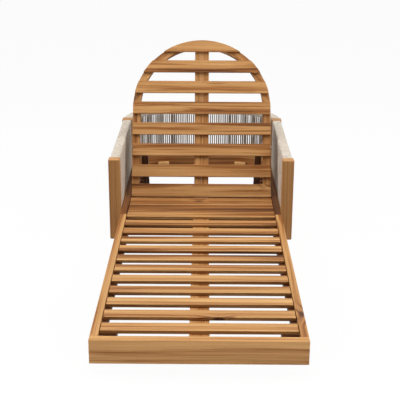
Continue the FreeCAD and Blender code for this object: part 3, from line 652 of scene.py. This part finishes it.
class CHAISE_OT_back(ChaiseOperator):
    """Finish the reclining back and the stay that holds it"""

    bl_idname = "chaise.back"
    bl_label = "Back and stay"

    def execute(self, context):
        boards = [
            ("left_back_stile", ALONG_BACK_UP, 0.22, 0.5),
            ("right_back_stile", ALONG_BACK_UP, 0.22, 0.5),
            ("left_back_arch", ALONG_ARCH_LEFT, 0.15, 0.5),
            ("right_back_arch", ALONG_ARCH_RIGHT, 0.15, 0.5),
            ("back_spine", ALONG_BACK_UP, 0.35, 0.5),
            # Painted shade: the stay arms take a dark tone for the shade under the back.
            ("left_stay_arm", ALONG_STAY, -0.3, 0.3),
            ("right_stay_arm", ALONG_STAY, -0.3, 0.3),
            ("stay_crossbar", ALONG_X, 0.3, 0.3),
        ]
        dress_boards(boards, BACK_SEED)
        chance = random.Random(BACK_SLAT_DRAW)
        boards = [
            (name, ALONG_BACK_X, chance.uniform(0.16, 0.32), chance.uniform(0.4, 0.9))
            for name in nodes_named("back_slat")
        ]
        dress_boards(boards, BACK_SLAT_SEED)
        return {"FINISHED"}


def steel_material():
    """Brushed zinc plating with faint marks."""
    steel = settings().steel
    material, tree, shader = new_material("plated_steel")
    place = tree.nodes.new("ShaderNodeTexCoord").outputs["Object"]
    cloud = noise(tree, place, (180.0, 180.0, 180.0), detail=3.0)["Fac"]
    scratch = noise(tree, place, (90.0, 900.0, 900.0))["Fac"]
    dull = tuple(value * 0.72 for value in steel.plate)
    colour = mix_colour(tree, soft_step(tree, cloud, 0.35, 0.7), (*dull, 1.0), (*steel.plate, 1.0))
    tree.links.new(colour, shader.inputs["Base Color"])
    rough = do_math(tree, "ADD", 0.26, do_math(tree, "MULTIPLY", scratch, 0.22))
    tree.links.new(rough, shader.inputs["Roughness"])
    shader.inputs["Metallic"].default_value = 1.0
    return material


class CHAISE_OT_fasteners(ChaiseOperator):
    """Finish the bolts and pins"""

    bl_idname = "chaise.fasteners"
    bl_label = "Bolts and pins"

    def execute(self, context):
        material = steel_material()
        for name in ("frame_fasteners", "stay_pins"):
            dress(name, material, STEEL_EDGE)
        return {"FINISHED"}


def inside_band(tree, place):
    """Mask of the inner wall of the rear band, below its top rail, where the rope is painted in shade."""
    parts = place_node(tree, "ShaderNodeSeparateXYZ", {0: unroll_band(tree, place)}).outputs
    inner = soft_step(tree, parts[2], *(BAND_MIDDLE - depth for depth in SHADE_INWARDS))
    below = soft_step(tree, parts[1], *(BAND_HIGH.z - depth for depth in SHADE_DOWNWARDS))
    return do_math(tree, "MULTIPLY", inner, below)


def rope_twist(tree, lay_length):
    """Crowns of the three plies, which also set the painted shade of their hollows, and the finer yarns
    across them.
    """
    lay = place_node(tree, "ShaderNodeAttribute", attribute_name="lay").outputs["Vector"]
    parts = place_node(tree, "ShaderNodeSeparateXYZ", {0: lay}).outputs
    angle = do_math(tree, "ARCTAN2", parts[1], parts[0])
    run = do_math(tree, "MULTIPLY", parts[2], math.tau / lay_length)
    plies = do_math(tree, "SINE", do_math(tree, "MULTIPLY", do_math(tree, "ADD", angle, run), PLIES))
    counter = do_math(tree, "MULTIPLY", run, YARN_TWIST)
    yarns = do_math(tree, "SINE", do_math(tree, "MULTIPLY_ADD", angle, YARNS, counter))
    return soft_step(tree, plies, -0.95, 0.35), yarns


def rope_material(name, shaded_inside=False):
    """Three-ply twisted rope, from the place round and along each strand."""
    rope = settings().rope
    material, tree, shader = new_material(name)
    crown, yarns = rope_twist(tree, rope.lay)
    place = tree.nodes.new("ShaderNodeTexCoord").outputs["Object"]
    fleck = noise(tree, place, (260.0, 260.0, 120.0), detail=3.0)["Fac"]
    patch = noise(tree, place, (120.0, 120.0, 80.0))["Fac"]
    tone = place_node(tree, "ShaderNodeAttribute", attribute_name="tone").outputs["Fac"]
    shade = (*rope.shade, 1.0)
    # Painted shade: the hollows between the plies take the greige, the crowns the cream.
    colour = mix_colour(tree, crown, shade, (*rope.cream, 1.0))
    colour = mix_colour(tree, do_math(tree, "MULTIPLY", tone, 0.3), colour, shade)
    if shaded_inside:
        # Painted shade: the inner wall of the rear band, below its top rail, greys where the back shades it.
        grey = do_math(tree, "MULTIPLY", inside_band(tree, place), REAR_SHADE_STRENGTH)
        colour = mix_colour(tree, grey, colour, (*rope.painted_shade, 1.0))
    for dirt, low, high, weight in ((fleck, 0.5, 0.75, 0.35), (patch, 0.42, 0.66, 0.55)):
        mask = do_math(tree, "MULTIPLY", soft_step(tree, dirt, low, high), weight)
        colour = mix_colour(tree, mask, colour, shade)
    tree.links.new(colour, shader.inputs["Base Color"])
    rough = do_math(tree, "MULTIPLY_ADD", fleck, 0.2, 0.78)
    tree.links.new(rough, shader.inputs["Roughness"])
    add_bump(tree, shader, do_math(tree, "MULTIPLY_ADD", yarns, 0.12, crown), 0.7, 0.0008)
    shader.inputs["Specular IOR Level"].default_value = LOW_SHINE
    shader.inputs["Sheen Weight"].default_value = 0.25
    shader.inputs["Sheen Roughness"].default_value = 0.5
    return material


WINDING_INPUTS = (
    ("Strand", "Object"), ("Wrap", "Object"), ("Turns", "Int"), ("Diameter", "Float"),
    ("Sides", "Int"), ("Wander", "Float"), ("Fan", "Float"), ("Seed", "Int"), ("Finish", "Material"),
)


def fan_turn(tree, most, chance):
    """Turn about the upright that grows to both sides of the middle, a little uneven."""
    spot = tree.nodes.new("GeometryNodeInputPosition").outputs[0]
    side = place_node(tree, "ShaderNodeSeparateXYZ", {0: spot}).outputs[0]
    share = soft_step(tree, do_math(tree, "ABSOLUTE", side), FAN_START, FAN_END)
    uneven = do_math(tree, "MULTIPLY", do_math(tree, "SUBTRACT", chance, 0.5), FAN_UNEVEN)
    part = do_math(tree, "ADD", do_math(tree, "MULTIPLY", share, do_math(tree, "SIGN", side)), uneven)
    angle = do_math(tree, "MULTIPLY", do_math(tree, "MULTIPLY", part, most), -1.0)
    turn = place_node(tree, "ShaderNodeCombineXYZ", {0: 0.0, 1: 0.0, 2: angle})
    return place_node(tree, "FunctionNodeEulerToRotation", {0: turn.outputs[0]}).outputs[0]


def turn_copies(tree, given, spaced):
    """Turns on the points of a path, a strand and a wrap by turns, each with its own tone."""
    along = tree.nodes.new("GeometryNodeInputTangent").outputs[0]
    facing = place_node(
        tree, "FunctionNodeAlignRotationToVector", {"Vector": along}, axis="Y", pivot_axis="Z"
    ).outputs[0]
    index = tree.nodes.new("GeometryNodeInputIndex").outputs[0]
    chance = place_node(
        tree, "FunctionNodeRandomValue", {"ID": index, "Seed": given["Seed"]}, data_type="FLOAT"
    ).outputs[1]
    turned = place_node(
        tree, "FunctionNodeRotateRotation",
        {"Rotation": facing, "Rotate By": fan_turn(tree, given["Fan"], chance)}, rotation_space="GLOBAL",
    ).outputs[0]
    odd = do_math(tree, "MODULO", index, 2.0)
    even = do_math(tree, "SUBTRACT", 1.0, odd)
    joined = tree.nodes.new("GeometryNodeJoinGeometry")
    for label, chosen in (("Strand", even), ("Wrap", odd)):
        shape = place_node(tree, "GeometryNodeObjectInfo", {"Object": given[label]}).outputs["Geometry"]
        loop = place_node(tree, "GeometryNodeMeshToCurve", {"Mesh": shape}).outputs[0]
        copies = place_node(
            tree, "GeometryNodeInstanceOnPoints",
            {"Points": spaced, "Selection": chosen, "Instance": loop, "Rotation": turned},
        ).outputs[0]
        toned = place_node(
            tree, "GeometryNodeStoreNamedAttribute", {"Geometry": copies, "Name": "tone", "Value": chance},
            data_type="FLOAT", domain="INSTANCE",
        ).outputs[0]
        tree.links.new(toned, joined.inputs[0])
    return place_node(tree, "GeometryNodeRealizeInstances", {"Geometry": joined.outputs[0]}).outputs[0]


def stray_offset(tree, given):
    """How far each point of a turn strays."""
    spot = tree.nodes.new("GeometryNodeInputPosition").outputs[0]
    start = place_node(tree, "ShaderNodeCombineXYZ", {0: given["Seed"], 1: 0.0, 2: 0.0}).outputs[0]
    moved = add_vectors(tree, scale_vector(tree, spot, WANDER_SCALE), start)
    drift = add_vectors(tree, noise(tree, moved, (1.0, 1.0, 1.0), detail=1.0)["Color"], CENTRED)
    return place_node(
        tree, "ShaderNodeVectorMath", {0: drift, "Scale": given["Wander"]}, operation="SCALE"
    ).outputs[0]


def keep_value(tree, curve, label):
    """Keep a curve's own length or factor for the tube that is made of it."""
    value = tree.nodes.new("GeometryNodeSplineParameter").outputs[label]
    kept = tree.nodes.new("GeometryNodeCaptureAttribute")
    kept.capture_items.new("FLOAT", label)
    tree.links.new(curve, kept.inputs["Geometry"])
    tree.links.new(value, kept.inputs[label])
    return kept.outputs["Geometry"], kept.outputs[label]


def rope_tube(tree, given, turns):
    """Tube on each turn, with the place round it and along it stored as lay."""
    line, length = keep_value(tree, turns, "Length")
    radius = do_math(tree, "DIVIDE", given["Diameter"], 2.0)
    circle = place_node(
        tree, "GeometryNodeCurvePrimitiveCircle", {"Resolution": given["Sides"], "Radius": radius}
    ).outputs[0]
    section, share = keep_value(tree, circle, "Factor")
    tube = place_node(
        tree, "GeometryNodeCurveToMesh", {"Curve": line, "Profile Curve": section, "Fill Caps": True}
    ).outputs[0]
    angle = do_math(tree, "MULTIPLY", share, math.tau)
    lay = place_node(
        tree, "ShaderNodeCombineXYZ",
        {0: do_math(tree, "COSINE", angle), 1: do_math(tree, "SINE", angle), 2: length},
    ).outputs[0]
    return place_node(
        tree, "GeometryNodeStoreNamedAttribute", {"Geometry": tube, "Name": "lay", "Value": lay},
        data_type="FLOAT_VECTOR", domain="POINT",
    ).outputs[0]


def winding_tree():
    """Rope turns along a path: an upright strand and a plain wrap by turns."""
    if "rope_winding" in bpy.data.node_groups:
        return bpy.data.node_groups["rope_winding"]
    tree = bpy.data.node_groups.new("rope_winding", "GeometryNodeTree")
    tree.interface.new_socket("Path", in_out="INPUT", socket_type="NodeSocketGeometry")
    for label, kind in WINDING_INPUTS:
        tree.interface.new_socket(label, in_out="INPUT", socket_type="NodeSocket" + kind)
    tree.interface.new_socket("Winding", in_out="OUTPUT", socket_type="NodeSocketGeometry")
    given = tree.nodes.new("NodeGroupInput").outputs
    leave = tree.nodes.new("NodeGroupOutput")

    path = place_node(tree, "GeometryNodeMeshToCurve", {"Mesh": given["Path"]}).outputs[0]
    spaced = place_node(
        tree, "GeometryNodeResampleCurve", {"Curve": path, "Count": given["Turns"]}
    ).outputs[0]
    turns = turn_copies(tree, given, spaced)
    loose = place_node(
        tree, "GeometryNodeSetPosition", {"Geometry": turns, "Offset": stray_offset(tree, given)}
    ).outputs[0]
    tube = rope_tube(tree, given, loose)
    smooth = place_node(tree, "GeometryNodeSetShadeSmooth", {"Geometry": tube}).outputs[0]
    finished = place_node(
        tree, "GeometryNodeSetMaterial", {"Geometry": smooth, "Material": given["Finish"]}
    ).outputs[0]
    tree.links.new(finished, leave.inputs[0])
    return tree


def line_object(name, points, closed=False):
    """Bare line through points, as an object."""
    count = len(points)
    edges = [(index, index + 1) for index in range(count - 1)]
    if closed:
        edges.append((count - 1, 0))
    mesh = bpy.data.meshes.new(name)
    mesh.from_pydata(points, edges, [])
    item = bpy.data.objects.new(name, mesh)
    bpy.context.scene.collection.objects.link(item)
    return item


def corner_points(x, z, radius, start, steps=4):
    """Quarter turn about a corner's centre, from an angle in degrees, anticlockwise."""
    points = []
    for index in range(steps + 1):
        angle = math.radians(start + 90 * index / steps)
        points.append((x + radius * math.cos(angle), 0.0, z + radius * math.sin(angle)))
    return points


def strand_points(half, foot, crown, bend):
    """One turn over the rail: up the outer side, over the top and down the inner side."""
    rise = [foot + (crown - bend - foot) * step / STRAND_LEGS for step in range(STRAND_LEGS)]
    points = [(half, 0.0, z) for z in rise]
    points += corner_points(half - bend, crown - bend, bend, 0)
    points += corner_points(-half + bend, crown - bend, bend, 90)
    points += [(-half, 0.0, z) for z in reversed(rise)]
    return points


def wrap_points(half, low, crown, bend):
    """Closed turn round the rail alone."""
    points = corner_points(half - bend, crown - bend, bend, 0)
    points += corner_points(-half + bend, crown - bend, bend, 90)
    points += corner_points(-half + bend, low + bend, bend, 180)
    points += corner_points(half - bend, low + bend, bend, 270)
    return points


def rear_line(steps=28):
    """Middle of the rear band seen from above: corner, straight, corner."""
    points = []
    for centre, start in ((CORNER_CENTRE, 0), (-CORNER_CENTRE, 90)):
        for index in range(steps + 1):
            angle = math.radians(start + 90 * index / steps)
            across, back = BAND_MIDDLE * math.cos(angle), BAND_MIDDLE * math.sin(angle)
            points.append((centre + across, REAR_POST_BACK + back, 0.0))
    return points


def path_length(points):
    """Length of a line through points."""
    return sum((Vector(a) - Vector(b)).length for a, b in zip(points, points[1:]))


def trim_path(points, margin):
    """Shorten a path by a margin at both ends."""
    trimmed = [Vector(point) for point in points]
    trimmed[0] += (trimmed[1] - trimmed[0]).normalized() * margin
    trimmed[-1] += (trimmed[-2] - trimmed[-1]).normalized() * margin
    return trimmed


def wind_rope(name, points, strand, wrap, material, fan, seed):
    """Wind rope along a path, as a plain mesh."""
    rope = settings().rope
    strands = round(path_length(points) / rope.pitch)
    item = line_object(name + "_path", trim_path(points, rope.diameter / 2))
    modifier = item.modifiers.new("winding", "NODES")
    modifier.node_group = winding_tree()
    values = {
        "Strand": strand, "Wrap": wrap, "Turns": 2 * strands - 1, "Diameter": rope.diameter,
        "Sides": rope.sides, "Wander": rope.wander, "Fan": fan, "Seed": seed, "Finish": material,
    }
    for socket in modifier.node_group.interface.items_tree:
        if socket.in_out == "INPUT" and socket.name in values:
            modifier[socket.identifier] = values[socket.name]
    graph = bpy.context.evaluated_depsgraph_get()
    mesh = bpy.data.meshes.new_from_object(item.evaluated_get(graph))
    if len(mesh.polygons) == 0:
        raise RuntimeError("no rope was wound for " + name)
    winding = bpy.data.objects.new(name, mesh)
    bpy.context.scene.collection.objects.link(winding)
    bpy.data.objects.remove(item)
    return winding


class CHAISE_OT_rope(ChaiseOperator):
    """Wind the rope of the arms and the rear band"""

    bl_idname = "chaise.rope"
    bl_label = "Rope"

    def execute(self, context):
        rope = settings().rope
        # The rear rope carries painted shade on its inner wall.
        rear_finish = rope_material("rear_rope_finish", shaded_inside=True)
        arm_finish = rope_material("arm_rope_finish")
        half = BAND_WIDTH / 2 - rope.diameter / 2
        crown = BAND_HIGH.z - rope.diameter / 2
        wrap_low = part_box("right_arm_top_rail")[0].z - rope.diameter / 2
        foot = BAND_LOW.z - rope.diameter / 2
        bend = rope.diameter * BEND_SHARE
        strand = line_object("strand_line", strand_points(half, foot, crown, bend))
        wrap = line_object("wrap_line", wrap_points(half, wrap_low, crown, bend), closed=True)
        paths = {"rear_rope": rear_line()}
        for side in ("left", "right"):
            low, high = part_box(side + "_arm_rope")
            middle = (low.x + high.x) / 2
            paths[side + "_arm_rope"] = [(middle, low.y, 0.0), (middle, high.y, 0.0)]
        for index, (node, points) in enumerate(paths.items()):
            finish, fan = (rear_finish, rope.fan) if node == "rear_rope" else (arm_finish, 0.0)
            seed = ROPE_SEED + index * ROPE_SEED_STEP
            winding = wind_rope(node + "_winding", points, strand, wrap, finish, fan, seed)
            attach(winding, BODY_OF[node])
            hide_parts(node)
        bpy.data.objects.remove(strand)
        bpy.data.objects.remove(wrap)
        return {"FINISHED"}


def seen_plainly(tree):
    """Mask of what the camera sees, straight, mirrored or through glass."""
    rays = tree.nodes.new("ShaderNodeLightPath").outputs
    indirect = do_math(tree, "MAXIMUM", rays["Is Glossy Ray"], rays["Is Transmission Ray"])
    return do_math(tree, "MAXIMUM", rays["Is Camera Ray"], indirect)


def floor_material():
    """Pale floor that the camera sees as white, with a faint shadow."""
    material, tree, shader = new_material("studio_floor")
    place = tree.nodes.new("ShaderNodeTexCoord").outputs["Object"]
    cloud = noise(tree, place, (0.7, 0.7, 0.7))["Fac"]
    colour = mix_colour(tree, cloud, (0.78, 0.78, 0.78, 1.0), (0.84, 0.84, 0.84, 1.0))
    tree.links.new(colour, shader.inputs["Base Color"])
    shader.inputs["Roughness"].default_value = 0.9
    shader.inputs["Specular IOR Level"].default_value = 0.0
    glow = place_node(tree, "ShaderNodeEmission", {"Color": WHITE, "Strength": 1.0}).outputs[0]
    share = do_math(tree, "MULTIPLY", seen_plainly(tree), FLOOR_SEEN_WHITE)
    blend = place_node(tree, "ShaderNodeMixShader", {0: share})
    tree.links.new(shader.outputs[0], blend.inputs[1])
    tree.links.new(glow, blend.inputs[2])
    output = next(item for item in tree.nodes if item.type == "OUTPUT_MATERIAL")
    tree.links.new(blend.outputs[0], output.inputs["Surface"])
    return material


def add_floor(scene):
    """Wide floor under the chaise."""
    plan = bmesh.new()
    bmesh.ops.create_grid(plan, x_segments=1, y_segments=1, size=FLOOR_REACH)
    mesh = bpy.data.meshes.new("studio_floor")
    plan.to_mesh(mesh)
    plan.free()
    floor = bpy.data.objects.new("studio_floor", mesh)
    floor.data.materials.append(floor_material())
    scene.collection.objects.link(floor)


def add_sky(scene, level):
    """Even light at a level, which the camera sees as white."""
    world = bpy.data.worlds.new("studio_sky")
    world.use_nodes = True
    tree = world.node_tree
    tree.nodes.clear()
    strength = do_math(tree, "MULTIPLY_ADD", seen_plainly(tree), 1.0 - level, level)
    sky = place_node(tree, "ShaderNodeBackground", {"Color": WHITE, "Strength": strength})
    output = tree.nodes.new("ShaderNodeOutputWorld")
    tree.links.new(sky.outputs[0], output.inputs["Surface"])
    scene.world = world


def add_lamp(scene, name, place, aim, size, spread, power):
    """Large soft lamp that faces a point."""
    lamp = bpy.data.lights.new(name, "AREA")
    lamp.shape = "RECTANGLE"
    lamp.size, lamp.size_y = size
    lamp.energy = power
    lamp.spread = math.radians(spread)
    item = bpy.data.objects.new(name, lamp)
    direction = Vector(aim) - Vector(place)
    item.matrix_world = Matrix.Translation(place) @ direction.to_track_quat("-Z", "Y").to_matrix().to_4x4()
    scene.collection.objects.link(item)


def add_camera(scene, studio):
    """Camera where the photographer stood."""
    view = bpy.data.cameras.new("photo_camera")
    view.lens = studio.lens
    view.sensor_width = 36.0
    view.sensor_fit = "HORIZONTAL"
    view.clip_end = 200.0
    camera = bpy.data.objects.new("photo_camera", view)
    camera.matrix_world = (
        Matrix.Translation(studio.stand)
        @ Matrix.Rotation(studio.turn, 4, "Z")
        @ Matrix.Rotation(math.radians(90) - studio.tilt, 4, "X")
        @ Matrix.Rotation(studio.roll, 4, "Z")
    )
    scene.collection.objects.link(camera)
    scene.camera = camera


class CHAISE_OT_stage(ChaiseOperator):
    """Set the floor, the light and the camera"""

    bl_idname = "chaise.stage"
    bl_label = "Studio"

    def execute(self, context):
        studio = settings().studio
        scene = context.scene
        scene.view_settings.view_transform = "Standard"
        add_floor(scene)
        add_sky(scene, studio.sky)
        for name, place, aim, size, spread, setting in LAMPS:
            add_lamp(scene, name, place, aim, size, spread, getattr(studio, setting))
        add_camera(scene, studio)
        return {"FINISHED"}


class CHAISE_PT_sidebar(bpy.types.Panel):
    """Steps and settings of the chaise"""

    bl_idname = "CHAISE_PT_sidebar"
    bl_label = "Chaise longue"
    bl_space_type = "VIEW_3D"
    bl_region_type = "UI"
    bl_category = "Chaise"

    def draw(self, context):
        for step in STEPS:
            self.layout.operator(step.bl_idname)
        chaise = context.scene.chaise
        for group in (chaise.wood, chaise.rope, chaise.steel, chaise.studio):
            box = self.layout.box()
            for label in group.__annotations__:
                box.prop(group, label)


STEPS = (
    CHAISE_OT_deck,
    CHAISE_OT_arms,
    CHAISE_OT_back,
    CHAISE_OT_fasteners,
    CHAISE_OT_rope,
    CHAISE_OT_stage,
)
CLASSES = (AcaciaFinish, RopeFinish, SteelFinish, StudioSetting, ChaiseSettings, *STEPS, CHAISE_PT_sidebar)


def register():
    for item in CLASSES:
        bpy.utils.register_class(item)
    bpy.types.Scene.chaise = PointerProperty(type=ChaiseSettings)


def unregister():
    del bpy.types.Scene.chaise
    for item in reversed(CLASSES):
        bpy.utils.unregister_class(item)


def main():
    register()
    bpy.ops.chaise.deck()
    bpy.ops.chaise.arms()
    bpy.ops.chaise.back()
    bpy.ops.chaise.fasteners()
    bpy.ops.chaise.rope()
    bpy.ops.chaise.stage()


if __name__ == "__main__":
    main()
